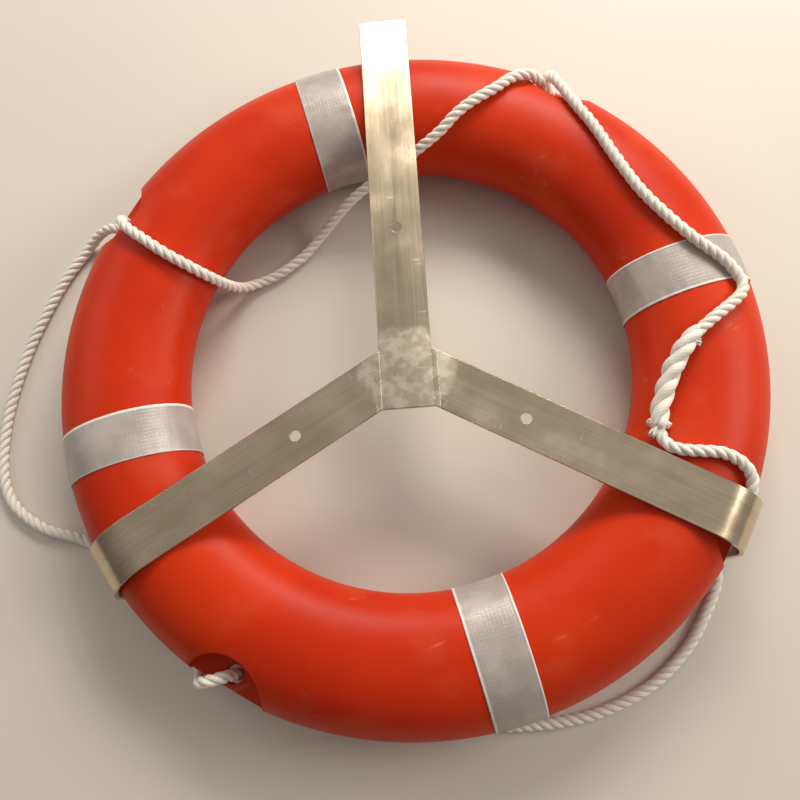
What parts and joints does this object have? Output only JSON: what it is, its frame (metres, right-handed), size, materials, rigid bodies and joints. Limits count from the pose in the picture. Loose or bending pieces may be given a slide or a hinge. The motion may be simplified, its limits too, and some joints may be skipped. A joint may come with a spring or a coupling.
{
  "type": "life ring with wall bracket",
  "caption": "Moulded plastic ring buoy with rope lugs, reflective tape and a laid grab line, held by a Y-shaped flat-bar wall bracket that hooks over its rim.",
  "frame": {"origin": "centre of the base of the box round the ring and its bracket without the rope, on the floor that the ring lies on", "axes": "+Z out of the ring's face to the wall side of the bracket, +Y along the bracket's upright away from its hub, +X to the right"},
  "size_m": [0.8133, 0.7416, 0.1159],
  "materials": {
    "shell_plastic": "moulded, satin to glossy, lightly scuffed",
    "foam": null,
    "plug_plastic": "moulded, satin",
    "reflective_tape": "retroreflective film with sealed edges, slightly wrinkled",
    "rope": "three-strand laid rope, cream",
    "steel": "stainless flat bar, brushed along its length",
    "weld": "weld ground flush"
  },
  "bodies": {
    "ring": {"ring_shell": "shell_plastic", "foam_core": "foam", "filler_plug": "plug_plastic", "reflective_tape_1": "reflective_tape", "reflective_tape_2": "reflective_tape", "reflective_tape_3": "reflective_tape", "reflective_tape_4": "reflective_tape", "grab_line": "rope", "grab_line_splice": "rope"},
    "bracket": {"bracket_upright": "steel", "bracket_arm_left": "steel", "bracket_arm_right": "steel", "weld_left": "weld", "weld_right": "weld"}
  },
  "joints": [
    {"name": "bracket_slide", "type": "slide", "parent": "ring", "child": "bracket", "axis": [0, -1, 0], "range_m": [0, 0.12]}
  ]
}
